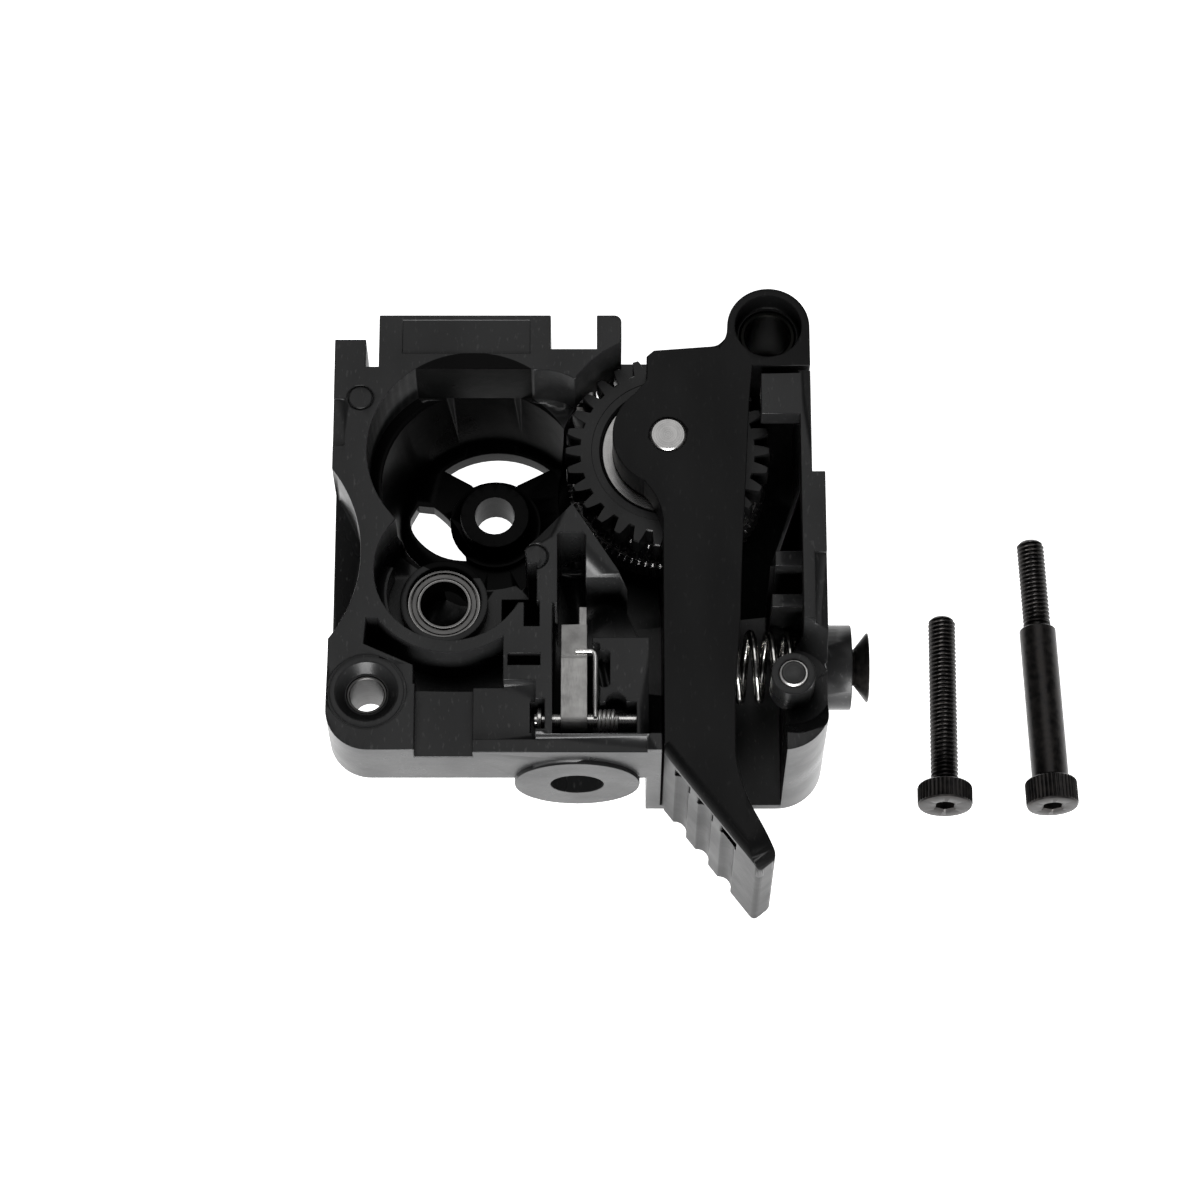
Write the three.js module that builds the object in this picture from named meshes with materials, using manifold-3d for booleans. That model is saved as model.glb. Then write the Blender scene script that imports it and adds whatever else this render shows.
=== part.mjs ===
// Extruder gear assembly for a desktop 3-D printer: a moulded housing with the tension arm that
// carries the idler gear, its adjusting spring and screw, a sprung steel lever beside the filament
// path, a small ball bearing, and two loose screws that belong to the kit.
//
// Units are millimetres. The assembly lies on its back: the back face of the housing is z = 0, the
// open front faces +z, the filament enters at the top (+y) and leaves at the bottom (-y) on x = 0.

import * as THREE from "three";
import { mergeVertices } from "three/addons/utils/BufferGeometryUtils.js";
import Module from "manifold-3d";

const wasm = await Module();
wasm.setup();

// ---------------------------------------------------------------- driving dimensions

const FRONT = 20;              // z of the front faces of the housing and the arm
const PLATE_BACK = 10.6;       // z of the back of the shallow left plate
const FLOOR = 1.4;             // thickness of the back wall behind the arm
const WEB = 2.2;               // thickness of the floor of the drive cavity
const PATH_Z = 10;             // z of the filament path
const FILAMENT_BORE = 1.15;    // radius of the bore that the filament runs in
const GAP = 0.3;               // clearance between pieces that face each other
const RUN = 0.05;              // radial clearance of a shaft or press seat
const ROUND = 40;              // segments of a full circle on the larger round features
const SMALL_ROUND = 24;        // segments of a full circle on the smaller ones
const OVER = 1;                // how far a cutting tool runs past the face it cuts

const LEFT = -26.4;            // outer faces of the housing
const RIGHT = 26.7;
const BOTTOM = -16.8;
const TOP = 27.8;

const PIVOT = { x: 20.8, y: 32, boss: 4.5, hole: 2.45, counterbore: 3.6, counterboreDepth: 2.7 };
const PIVOT_SPLIT = 5.8;       // z where the arm's boss ends above the housing's boss

const IDLER = { x: 9.8, y: 19.2, axle: 2 };
const GEAR = { teeth: 30, module: 0.7, z0: 12.2, z1: 15.4, recess: 7.2 };
const HOB = { teeth: 60, outer: 10.2, root: 9.85, z0: 8, z1: 12 };
const KNURLED_RIM = { radius: 11, z0: 4.5, z1: 7.9 };   // behind the wheel that grips the filament
const GEAR_ROOM = GEAR.module * (GEAR.teeth + 2) / 2 + 0.8;   // radius of the hollow round the gear

const ARM_PLATE_BACK = 15.7;   // z of the back of the arm's front plate
const ARM_EAR = { z0: 1.8, z1: 3.95 };
const ARM_BACK = 0.6;          // z of the back of the arm's lower half and its thumb tab
const THUMB_FACE = { x0: 9.2, y0: -16.9, x1: 18.6, y1: -29.2, normal: Math.atan2(-9.4, -12.3) };
const GRIP = { radius: 1.3, outside: 0.7, pocketOutside: 0.1, pocket: 16.4, top: 18.3 };

const SPRING = { y: -4, z: 10, outer: 4.1, wire: 0.9, turns: 3.83, closedPitch: 1.1, x0: 16.4, x1: 24.2 };
const CUP = { radius: 4.2, stub: 2.4, x0: 22.9, x1: 24.4, x2: 25.5 };
const SPRING_POCKET = { radius: 4.5, x0: 16.05 };
const TENSION = {
  boss: 4.6, bossEnd: 29.5, shank: 2, tip: 25.8, headStart: 29.85, headEnd: 31.4, head: 3.75,
};

const BEARING = { x: -14.5, y: 3.3, outer: 4, bore: 2.5, z0: 7.4, z1: 10.2 };
const LEVER_PIN = { y: -12.75, z: 17.6, radius: 0.75, x0: -4.6, x1: 7.6, clip: -4.2 };
const LEVER = { x0: -1.7, x1: 1.1, sheet: 0.6, eye: 1.45 };
const TORSION = { x0: 1.75, x1: 4.45, mean: 1.05, wire: 0.4, turns: 5 };

const SHAFT_BOSS = { x: -9.2, y: 15.4, radius: 3.8, flange: 5.1, bore: 2.2, z1: 6 };
const CORNER = { x: -22.2, y: -10.3, counterbore: 3.3, seat: 2.15, bore: 1.8, sleeveEnd: 18.8 };
const GUIDE = { x: 22.9, y: -8.3, radius: 1.5, boss: 2.35, z0: 14.7 };
const OUTLET = { radius: 6.7, hole: 2.85, face: -17.3, depth: 7 };

// ---------------------------------------------------------------- geometry helpers

function solid(geometry) {
  const bare = geometry.clone();
  bare.deleteAttribute("normal");
  bare.deleteAttribute("uv");
  const merged = mergeVertices(bare, 1e-5);
  const mesh = new wasm.Mesh({
    numProp: 3,
    vertProperties: new Float32Array(merged.attributes.position.array),
    triVerts: new Uint32Array(merged.index.array),
  });
  return new wasm.Manifold(mesh);
}

function surface(body) {
  const mesh = body.getMesh();
  const geometry = new THREE.BufferGeometry();
  geometry.setAttribute("position", new THREE.BufferAttribute(mesh.vertProperties, 3));
  geometry.setIndex(new THREE.BufferAttribute(mesh.triVerts, 1));
  geometry.computeVertexNormals();
  return geometry;
}

function join(...bodies) {
  return bodies.reduce((whole, body) => whole.add(body));
}

function cut(body, ...tools) {
  return tools.reduce((rest, tool) => rest.subtract(tool), body);
}

// A prism of a flat shape drawn in x and y, standing from z0 to z1.
function prism(shape, z0, z1, segments = 12) {
  const geometry = new THREE.ExtrudeGeometry(shape, {
    depth: z1 - z0, bevelEnabled: false, curveSegments: segments,
  });
  geometry.translate(0, 0, z0);
  return solid(geometry);
}

function polygon(points) {
  return new THREE.Shape(points.map(([x, y]) => new THREE.Vector2(x, y)));
}

function box(x0, x1, y0, y1, z0, z1) {
  const geometry = new THREE.BoxGeometry(x1 - x0, y1 - y0, z1 - z0);
  geometry.translate((x0 + x1) / 2, (y0 + y1) / 2, (z0 + z1) / 2);
  return solid(geometry);
}

// A box seen from the front as a rectangle with round corners.
function roundBox(x0, x1, y0, y1, z0, z1, r) {
  const shape = new THREE.Shape();
  shape.moveTo(x0 + r, y0);
  shape.lineTo(x1 - r, y0);
  shape.absarc(x1 - r, y0 + r, r, -Math.PI / 2, 0, false);
  shape.absarc(x1 - r, y1 - r, r, 0, Math.PI / 2, false);
  shape.absarc(x0 + r, y1 - r, r, Math.PI / 2, Math.PI, false);
  shape.absarc(x0 + r, y0 + r, r, Math.PI, Math.PI * 1.5, false);
  return prism(shape, z0, z1, 5);
}

// A round bar, or a cone when two radii are given, along z, x or y.
function barZ(x, y, z0, z1, r0, r1 = r0, segments = ROUND) {
  const geometry = new THREE.CylinderGeometry(r1, r0, z1 - z0, segments);
  geometry.rotateX(Math.PI / 2);
  geometry.translate(x, y, (z0 + z1) / 2);
  return solid(geometry);
}

function barX(x0, x1, y, z, r0, r1 = r0, segments = SMALL_ROUND) {
  const geometry = new THREE.CylinderGeometry(r1, r0, x1 - x0, segments);
  geometry.rotateZ(-Math.PI / 2);
  geometry.translate((x0 + x1) / 2, y, z);
  return solid(geometry);
}

function barY(x, z, y0, y1, r0, r1 = r0, segments = ROUND) {
  const geometry = new THREE.CylinderGeometry(r1, r0, y1 - y0, segments);
  geometry.translate(x, (y0 + y1) / 2, z);
  return solid(geometry);
}

function tubeZ(x, y, z0, z1, outer, inner, segments = ROUND) {
  return barZ(x, y, z0, z1, outer, outer, segments)
    .subtract(barZ(x, y, z0 - OVER, z1 + OVER, inner, inner, segments));
}

// A wire of round section along a curve.
function wire(curve, steps, diameter, sides = 8) {
  const section = new THREE.Shape();
  section.absarc(0, 0, diameter / 2, 0, Math.PI * 2, false);
  return new THREE.ExtrudeGeometry(section, {
    steps, extrudePath: curve, bevelEnabled: false, curveSegments: sides,
  });
}

const meshes = [];

function part(name, body, look) {
  const geometry = body.isBufferGeometry ? body : surface(body);
  const mesh = new THREE.Mesh(geometry, look);
  mesh.name = name;
  meshes.push(mesh);
  return mesh;
}

function look(color, roughness, metalness) {
  return new THREE.MeshStandardMaterial({ color, roughness, metalness });
}

const blackPlastic = look(0x1d1d1f, 0.55, 0);
const gearPlastic = look(0x17171a, 0.42, 0);
const steel = look(0xb9b8b2, 0.3, 1);
const sheetSteel = look(0xcfcfca, 0.35, 1);
const springSteel = look(0x56544f, 0.35, 1);
const blackSteel = look(0x1a1a1c, 0.42, 0.8);

// ---------------------------------------------------------------- housing

// Front outline of the left half: top blocks, filament inlet step, post, then down the arm's side.
function leftOutline() {
  const shape = new THREE.Shape();
  shape.moveTo(LEFT, -6);
  shape.lineTo(LEFT, 30.4);
  shape.lineTo(-23, 30.4);
  shape.lineTo(-23, 27.2);
  shape.lineTo(-21.6, 27.2);
  shape.lineTo(-21.6, 33.3);
  shape.lineTo(-2.9, 33.3);
  shape.lineTo(-2.9, 29.3);
  shape.lineTo(2.1, 29.3);
  shape.lineTo(2.1, 33.3);
  shape.lineTo(4, 33.3);
  shape.absarc(4, 32.5, 0.8, Math.PI / 2, 0, true);
  shape.lineTo(4.8, TOP);
  shape.lineTo(8.9, TOP);
  shape.lineTo(8.9, BOTTOM);
  shape.lineTo(-22, BOTTOM);
  shape.absarc(-22, -12.3, 4.5, -Math.PI / 2, -Math.PI, true);
  return shape;
}

// Everything behind the left plate: the deep cup around the drive gear and the bearing tower.
function leftBack() {
  return join(
    roundBox(-23, 3.2, -3, 29, 0, PLATE_BACK + OVER, 3),
    barZ(BEARING.x, BEARING.y, 4.4, PLATE_BACK + OVER, 8.9),
    box(3, 8, -5, TOP, 0, PLATE_BACK + OVER),
  );
}

// The deep right half that holds the arm and the spring, with a large round lower corner.
function rightBox() {
  const shape = new THREE.Shape();
  shape.moveTo(7.4, BOTTOM);
  shape.lineTo(RIGHT - 5, BOTTOM);
  shape.absarc(RIGHT - 5, BOTTOM + 5, 5, -Math.PI / 2, 0, false);
  shape.lineTo(RIGHT, 14.9);
  shape.lineTo(25.3, 14.9);
  shape.lineTo(25.3, PIVOT.y);
  shape.absarc(PIVOT.x, PIVOT.y, PIVOT.boss, 0, Math.PI, false);
  shape.lineTo(PIVOT.x - PIVOT.boss, TOP);
  shape.lineTo(7.4, TOP);
  return prism(shape, 0, FRONT, 10);
}

// The hollow that the arm and the idler gear move in, open to the front.
function armChamber() {
  const sweep = polygon([
    [-0.6, 11.2], [4.4, 3.4], [7.2, -3.2], [7.6, -3.9], [7.6, -14.9], [9, -14.9], [9, BOTTOM - OVER],
    [22.1, BOTTOM - OVER], [22.1, -5.6], [24.1, -3], [24.1, 26.6], [11, 34], [5.6, 34], [5.6, 27],
    [1, 27], [-1.6, 14],
  ]);
  return join(
    prism(sweep, FLOOR, FRONT + OVER),
    barZ(IDLER.x, IDLER.y, FLOOR, FRONT + OVER, GEAR_ROOM),
  );
}

// Top wall behind the idler gear, which closes the hollow between the drive side and the pivot.
function topWall() {
  return cut(
    box(3.2, 15.2, 26, 32.4, 0, 9),
    barZ(IDLER.x, IDLER.y, FLOOR, FRONT, GEAR_ROOM),
    box(4.8, 15.2 + OVER, 20, 26.6, FLOOR, FRONT),
  );
}

// Room above the lower pivot boss for the arm's own boss.
function pivotRoom() {
  return prism(polygon([
    [15, 26.7], [27, 26.7], [27, 38], [15, 38],
  ]), PIVOT_SPLIT - GAP, FRONT + OVER);
}

// Stepped cavity for the drive gear. Each step lies a little further towards the drive axis.
function driveCavity() {
  const lip = box(-30, 10, 26.9, 30, 0, FRONT + 2 * OVER);
  const rim = barZ(-11.3, 17.4, 12, FRONT + OVER, 11.4, 11.4, 64).subtract(lip);
  const inner = new THREE.CylinderGeometry(11.05, 10.3, 12 - WEB, 64);
  inner.rotateX(Math.PI / 2);
  const shear = new THREE.Matrix4().set(1, 0, -0.12, 0, 0, 1, 0.13, 0, 0, 0, 1, 0, 0, 0, 0, 1);
  inner.applyMatrix4(shear);
  inner.translate(-9.8, 16, (12 + WEB) / 2);
  const throat = barZ(-4, 20, 12, FRONT + OVER, 6.8);
  const corner = polygon([[-9, 8], [-6.1, 5.4], [-4.15, 7.2], [-0.6, 11], [-2, 18], [-10, 14]]);
  return join(rim, solid(inner), throat, prism(corner, 6.5, FRONT + OVER));
}

// Two windows through the floor of the drive cavity, which leave a web around the shaft boss.
function driveWindows() {
  const above = polygon([
    [-14.9, 22.3], [-11.9, 20.6], [-9, 17], [-6.8, 20.6], [-3.1, 22.5], [-3.1, 26], [-14.9, 26],
  ]);
  const lens = prism(above, -OVER, WEB + OVER).intersect(barZ(-9, 15.1, -OVER, WEB + OVER, 9.35, 9.35, 64));
  const beside = new THREE.Shape();
  beside.moveTo(-17.8, 18.1);
  beside.lineTo(-16.1, 17.9);
  beside.quadraticCurveTo(-14, 16.4, -12.9, 14);
  beside.lineTo(-11.3, 11.6);
  beside.quadraticCurveTo(-14.8, 11.2, -17, 13.2);
  beside.quadraticCurveTo(-19, 15, -18.6, 16.6);
  return join(
    cut(lens, barZ(SHAFT_BOSS.x, SHAFT_BOSS.y, -2 * OVER, WEB + 2 * OVER, 5.6)),
    prism(beside, -OVER, WEB + OVER, 8),
  );
}

function bearingCavity() {
  const bowl = barZ(-13.5, 3.65, 9, FRONT + OVER, 8.2);
  const seat = join(
    barZ(BEARING.x, BEARING.y, BEARING.z0 - RUN, FRONT, BEARING.outer + RUN),
    barZ(BEARING.x, BEARING.y, WEB + OVER, FRONT, 3.2),
  );
  const ledge = cut(
    tubeZ(-13.9, 3.5, 9 - OVER, 13, 8.4, 6.7),
    box(-9.5, 0, -8, 14, 0, FRONT),
    box(-25, 0, 6.5, 14, 0, FRONT),
  );
  const rim = join(tubeZ(BEARING.x, BEARING.y, 9 - OVER, 10.9, 4.8, BEARING.outer + RUN), ledge);
  return { tool: join(bowl, seat), rim };
}

// The curved black pocket between the bearing bowl and the lower left corner.
function arcPocket() {
  const area = polygon([[-22.4, -2], [-7.8, -2], [-7.8, -9.4], [-17.3, -9.4], [-17.3, -7.3], [-22.6, -4.9]]);
  return cut(prism(area, 12, FRONT + OVER), barZ(-13.5, 3.65, 12 - OVER, FRONT + 2 * OVER, 9.6, 9.6, 64));
}

// Deep hollows to the left of the filament channel and the shallow shelf below them.
function shelfCuts() {
  return join(
    box(-8.2, -4.3, -0.2, 4.2, 3, FRONT + OVER),
    box(-5.6, -4, -2.9, -0.1, 3, FRONT + OVER),
    box(-7.3, -3.9, -7.3, -6, 15, FRONT + OVER),
    box(-17.1, -4.4, -15.3, -9, 18.6, FRONT + OVER),
    box(-17.1, -11, BOTTOM - OVER, -8.9, 17.5, FRONT + OVER),
    box(-11.5, 8, BOTTOM - OVER, -15.1, 19.1, FRONT + 2 * OVER),
  );
}

// The filament channel with the slot that the sprung lever lies in, and the seats of its pin.
function leverCuts() {
  return join(
    roundBox(-2.1, 0.9, -3, 7.8, 7.6, FRONT + OVER, 0.5),
    prism(polygon([[0.6, 2.6], [4.6, 2.6], [7.8, -3.6], [7.8, -3.9], [0.6, -3.9]]), 13, FRONT + OVER),
    box(-2.6, 1.6, -15, -0.3, 13.5, FRONT + OVER),
    box(1.5, 2.4, -12, -4.6, 17.4, FRONT + OVER),
    box(1.5, 6.3, -14.6, -11.2, 15.4, FRONT + OVER),
    barZ(4.15, -11.3, 15.4, FRONT + OVER, 1.1, 1.1, SMALL_ROUND),
    roundBox(2.3, 3.5, -9.5, -5.4, 16, FRONT + OVER, 0.5),
    box(1.5, 7.7, -15, -3.8, 19.2, FRONT + OVER),
    box(-4.9, -3.4, -14.4, -11.1, 15.4, FRONT + OVER),
    barX(-4.8, 7.9, LEVER_PIN.y, LEVER_PIN.z, LEVER_PIN.radius + RUN),
  );
}

// A slope that leads from the plate beside the lever down towards the drive side.
function leverSlope() {
  const wedge = polygon([[-3.9, FRONT + OVER], [-3.9, 19.2], [0.4, 15.6], [0.4, FRONT + OVER]]);
  const geometry = new THREE.ExtrudeGeometry(wedge, { depth: 5.4, bevelEnabled: false });
  geometry.rotateY(Math.PI / 2);
  geometry.rotateX(Math.PI / 2);
  geometry.translate(1.4, 0, 0);
  return solid(geometry);
}

// Small marks of the moulding tool on the front faces.
function toolMarks() {
  const mark = (x, y, r) => tubeZ(x, y, FRONT - 0.12, FRONT + OVER, r, r - 0.16, SMALL_ROUND);
  return join(
    mark(-23.5, 23.5, 1.45),
    mark(-4.5, 5, 1.45),
    roundBox(LEFT - OVER, -25.1, 17.9, 23.4, FRONT - 0.3, FRONT + OVER, 0.3),
    box(-19, -5.2, 28.8, 32.7, FRONT - 0.15, FRONT + OVER),
  );
}

function cornerBore() {
  return join(
    barZ(CORNER.x, CORNER.y, CORNER.sleeveEnd + 0.1, FRONT + OVER, CORNER.seat + 0.3, CORNER.counterbore + 0.8),
    barZ(CORNER.x, CORNER.y, -OVER, FRONT, CORNER.seat + RUN),
    tubeZ(CORNER.x, CORNER.y, FRONT - 0.15, FRONT + OVER, CORNER.counterbore + 0.9, CORNER.counterbore + 0.7),
  );
}

// The big scallop on the left edge leaves a thin floor behind it.
function leftScallop() {
  return barZ(-39.15, 5.4, 12.2, FRONT + OVER, 16.05, 16.05, 96);
}

// Ribs, diagonal wall and the guide pin's tower inside the right half.
function rightInside() {
  const diagonal = polygon([[20.7, 5], [21.3, 5], [24.4, 14.6], [25.2, 26], [24.6, 26], [23.9, 14.6]]);
  return join(
    box(19.9, 24.6, 21.6, 26.4, 17.2, FRONT),
    box(21.2, 24.5, 4.5, 6.2, 0.5, 18.6),
    box(20.8, 24.5, 0, 1.5, 0.5, 18),
    prism(diagonal, 0.5, 17),
    barZ(GUIDE.x, GUIDE.y, GUIDE.z0, FRONT, GUIDE.boss),
  );
}

// The dished shoulder around the guide pin's tower.
function guideDish() {
  const profile = [
    [GUIDE.boss, FRONT + OVER], [GUIDE.boss, 15.4], [4.2, 15.8], [6.6, 19.6], [6.6, FRONT + OVER],
  ];
  const points = [...profile, profile[0]].map(([r, z]) => new THREE.Vector2(r, z));
  const geometry = new THREE.LatheGeometry(points, ROUND);
  geometry.rotateX(Math.PI / 2);
  geometry.translate(GUIDE.x, GUIDE.y, 0);
  return solid(geometry);
}

function rightCuts() {
  return join(
    barZ(GUIDE.x, GUIDE.y, GUIDE.z0 + 0.4, FRONT + OVER, GUIDE.radius + RUN, GUIDE.radius + RUN, SMALL_ROUND),
    barX(20, RIGHT - 0.8, SPRING.y, SPRING.z, CUP.radius + 0.15),
    barX(RIGHT - 1, TENSION.bossEnd + OVER, SPRING.y, SPRING.z, 2.9),
    barZ(PIVOT.x, PIVOT.y, -OVER, FRONT, 1.5, 1.5, SMALL_ROUND),
    box(25.4, RIGHT + OVER, -3, 5.6, 19.3, FRONT + OVER),
  );
}

function housing() {
  const plate = prism(leftOutline(), PLATE_BACK, FRONT, 8);
  const outletBoss = barY(0, PATH_Z, OUTLET.face, BOTTOM + 6, OUTLET.radius);
  const bearing = bearingCavity();
  const tensionBoss = barX(RIGHT - 1, TENSION.bossEnd, SPRING.y, SPRING.z, TENSION.boss, TENSION.boss, ROUND);
  const leftHalf = cut(
    join(plate, leftBack()),
    driveCavity(),
    bearing.tool,
    arcPocket(),
    shelfCuts(),
    leftScallop(),
    toolMarks(),
    cornerBore(),
  );
  const shaftBoss = join(
    barZ(SHAFT_BOSS.x, SHAFT_BOSS.y, 0, SHAFT_BOSS.z1, SHAFT_BOSS.radius),
    barZ(SHAFT_BOSS.x, SHAFT_BOSS.y, 0, WEB + OVER, SHAFT_BOSS.flange),
  );
  const whole = join(cut(join(leftHalf, rightBox(), tensionBoss), armChamber(), pivotRoom(), driveCavity()),
    bearing.rim, outletBoss, shaftBoss, topWall(), cut(rightInside(), guideDish()));
  return cut(
    whole,
    leverCuts(),
    leverSlope(),
    guideDish(),
    rightCuts(),
    driveWindows(),
    barZ(SHAFT_BOSS.x, SHAFT_BOSS.y, -OVER, FRONT, SHAFT_BOSS.bore, SHAFT_BOSS.bore, SMALL_ROUND),
    barY(0, PATH_Z, OUTLET.face - OVER, OUTLET.face + OUTLET.depth, OUTLET.hole, OUTLET.hole, SMALL_ROUND),
    barY(0, PATH_Z, OUTLET.face, 34, FILAMENT_BORE, FILAMENT_BORE, 20),
    barY(0, PATH_Z, 26, 30, 2.1, 2.1, SMALL_ROUND),
  );
}

// ---------------------------------------------------------------- arm and idler

// The outline of the tab from its root on the right round its blunt tip to its root on the left.
function drawThumbTab(shape) {
  shape.lineTo(16.7, -17.1);
  shape.quadraticCurveTo(17, -20.4, 18.7, -23.7);
  shape.lineTo(20.6, -27.3);
  shape.quadraticCurveTo(21, -28.1, 20.4, -28.6);
  shape.lineTo(19.6, -29.25);
  shape.quadraticCurveTo(19.05, -29.75, THUMB_FACE.x1, THUMB_FACE.y1);
  shape.lineTo(THUMB_FACE.x0, THUMB_FACE.y0);
}

function armFront() {
  const shape = new THREE.Shape();
  shape.moveTo(7.5, 28.4);
  shape.lineTo(8.3, 29.1);
  shape.lineTo(14.6, 29.6);
  shape.quadraticCurveTo(16.3, 29.8, PIVOT.x - PIVOT.boss, PIVOT.y);
  shape.absarc(PIVOT.x, PIVOT.y, PIVOT.boss, Math.PI, 0, true);
  shape.lineTo(25.3, 28.2);
  shape.quadraticCurveTo(25.2, 27.3, 24.4, 27.3);
  shape.lineTo(19, 27.3);
  shape.lineTo(18.6, 22.9);
  shape.lineTo(17.6, 3.9);
  shape.lineTo(17.4, -1.8);
  shape.lineTo(16.75, -10);
  drawThumbTab(shape);
  shape.lineTo(9.2, 9.4);
  shape.quadraticCurveTo(8.95, 11.9, IDLER.x - 2.66, IDLER.y - 5.38);
  shape.absarc(IDLER.x, IDLER.y, 6, -2.03, -4.05, true);
  shape.lineTo(7.5, 25.6);
  return shape;
}

// The lower half is as deep as the housing's hollow, and the thumb tab below it is deeper still.
function armLower() {
  const shape = new THREE.Shape();
  shape.moveTo(9.2, 6.2);
  shape.lineTo(17.7, 6.2);
  shape.lineTo(17.4, -1.8);
  shape.lineTo(16.75, -10);
  drawThumbTab(shape);
  const belowHousing = box(8, 22, -31, BOTTOM - GAP, ARM_BACK, FRONT);
  return join(
    prism(shape, FLOOR + GAP, ARM_PLATE_BACK + OVER, 6),
    prism(shape, ARM_BACK, ARM_PLATE_BACK + OVER, 6).intersect(belowHousing),
  );
}

// Rear ear that holds the other end of the axle, and its bridge down to the lower half.
function armEar() {
  return join(
    barZ(IDLER.x, IDLER.y, ARM_EAR.z0, ARM_EAR.z1, 5),
    prism(polygon([[9.2, 5], [17.6, 5], [18.4, 21], [14, 23], [7, 22]]), ARM_EAR.z0, ARM_EAR.z1),
  );
}

function pivotBoss() {
  const block = box(19, 25.3, 27.3, PIVOT.y, PIVOT_SPLIT, FRONT);
  return join(barZ(PIVOT.x, PIVOT.y, PIVOT_SPLIT, FRONT, PIVOT.boss), block);
}

// Three upright grip grooves on the face that the thumb pushes. Each is open at the back and ends in a
// deeper pocket near the front.
function gripCuts() {
  const { x0, y0, x1, y1, normal } = THUMB_FACE;
  const bars = [0.202, 0.455, 0.708].flatMap((along) => {
    const bar = (outside, z0) => barZ(
      x0 + along * (x1 - x0) + outside * Math.cos(normal),
      y0 + along * (y1 - y0) + outside * Math.sin(normal), z0, GRIP.top, GRIP.radius,
    );
    return [bar(GRIP.outside, -OVER), bar(GRIP.pocketOutside, GRIP.pocket)];
  });
  return join(...bars);
}

// Takes off the front edge outside a quarter round that starts at (x, y) and falls away at an angle.
function edgeRound(x, y, angle, radius, halfLength) {
  const block = box(0, radius + OVER, -halfLength, halfLength, FRONT - radius, FRONT + OVER);
  const round = barY(0, FRONT - radius, -halfLength - OVER, halfLength + OVER, radius);
  return cut(block, round).rotate([0, 0, THREE.MathUtils.radToDeg(angle)]).translate([x, y, 0]);
}

// The thumb tab is rounded along the face that the thumb pushes and rolls off towards its tip.
function tabRounds() {
  const { x0, y0, x1, y1, normal } = THUMB_FACE;
  const inset = 1.27;
  const middle = [(x0 + x1) / 2 - inset * Math.cos(normal), (y0 + y1) / 2 - inset * Math.sin(normal)];
  return [
    edgeRound(...middle, normal, inset + 0.03, Math.hypot(x1 - x0, y1 - y0) / 2 + 0.5),
    edgeRound(17.6, -26, normal + Math.PI / 2, 5, 4),
  ];
}

function arm() {
  const body = join(prism(armFront(), ARM_PLATE_BACK, FRONT, 14), armLower(), armEar(), pivotBoss());
  const lightening = box(10.6, 15, -15, 4.4, -OVER, 4);
  return cut(
    body,
    barZ(PIVOT.x, PIVOT.y, FRONT - PIVOT.counterboreDepth, FRONT + OVER, PIVOT.counterbore),
    barZ(PIVOT.x, PIVOT.y, PIVOT_SPLIT - OVER, FRONT, PIVOT.hole + 0.65),
    barZ(IDLER.x, IDLER.y, 2, FRONT + OVER, IDLER.axle + RUN, IDLER.axle + RUN, SMALL_ROUND),
    barX(SPRING_POCKET.x0, 19, SPRING.y, SPRING.z, SPRING_POCKET.radius),
    gripCuts(),
    ...tabRounds(),
    lightening,
  );
}

// Outline of a spur gear whose teeth taper from root to tip.
function toothedShape(teeth, root, tip, rootShare, tipShare, hole) {
  const step = (2 * Math.PI) / teeth;
  const points = [];
  for (let i = 0; i < teeth; i += 1) {
    const angle = i * step;
    const at = (r, offset) => [r * Math.cos(angle + offset * step), r * Math.sin(angle + offset * step)];
    points.push(at(root, -rootShare / 2), at(tip, -tipShare / 2));
    points.push(at(tip, tipShare / 2), at(root, rootShare / 2));
  }
  const shape = polygon(points);
  const bore = new THREE.Path();
  bore.absarc(0, 0, hole, 0, Math.PI * 2, true);
  shape.holes.push(bore);
  return shape;
}

function idlerGear() {
  const pitch = (GEAR.module * GEAR.teeth) / 2;
  const root = pitch - 1.25 * GEAR.module;
  const shape = toothedShape(GEAR.teeth, root, pitch + GEAR.module, 0.66, 0.26, GEAR.recess);
  const ring = prism(shape, GEAR.z0, GEAR.z1, ROUND / 2);
  return ring.translate([IDLER.x, IDLER.y, 0]);
}

// Steel wheel that grips the filament, with a knurled rim behind and a hub that fills the gear's recess.
function hobWheel() {
  const shape = toothedShape(HOB.teeth, HOB.root, HOB.outer, 0.8, 0.3, 3.5 + RUN);
  const hub = tubeZ(0, 0, HOB.z1 - 0.5, GEAR.z1 - 0.4, GEAR.recess - RUN, 5.9);
  const rim = tubeZ(0, 0, KNURLED_RIM.z0, KNURLED_RIM.z1, KNURLED_RIM.radius, 3.5 + RUN);
  const neck = tubeZ(0, 0, KNURLED_RIM.z1 - 0.2, HOB.z0 + 0.2, HOB.root - 0.5, 4);
  return join(prism(shape, HOB.z0, HOB.z1, ROUND / 2), hub, rim, neck).translate([IDLER.x, IDLER.y, 0]);
}

function idlerAxle() {
  const body = barZ(0, 0, 2.2, FRONT - 0.35, IDLER.axle, IDLER.axle, SMALL_ROUND);
  const chamfer = barZ(0, 0, FRONT - 0.35, FRONT, IDLER.axle, IDLER.axle - 0.35, SMALL_ROUND);
  return join(body, chamfer).translate([IDLER.x, IDLER.y, 0]);
}

// ---------------------------------------------------------------- springs

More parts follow.
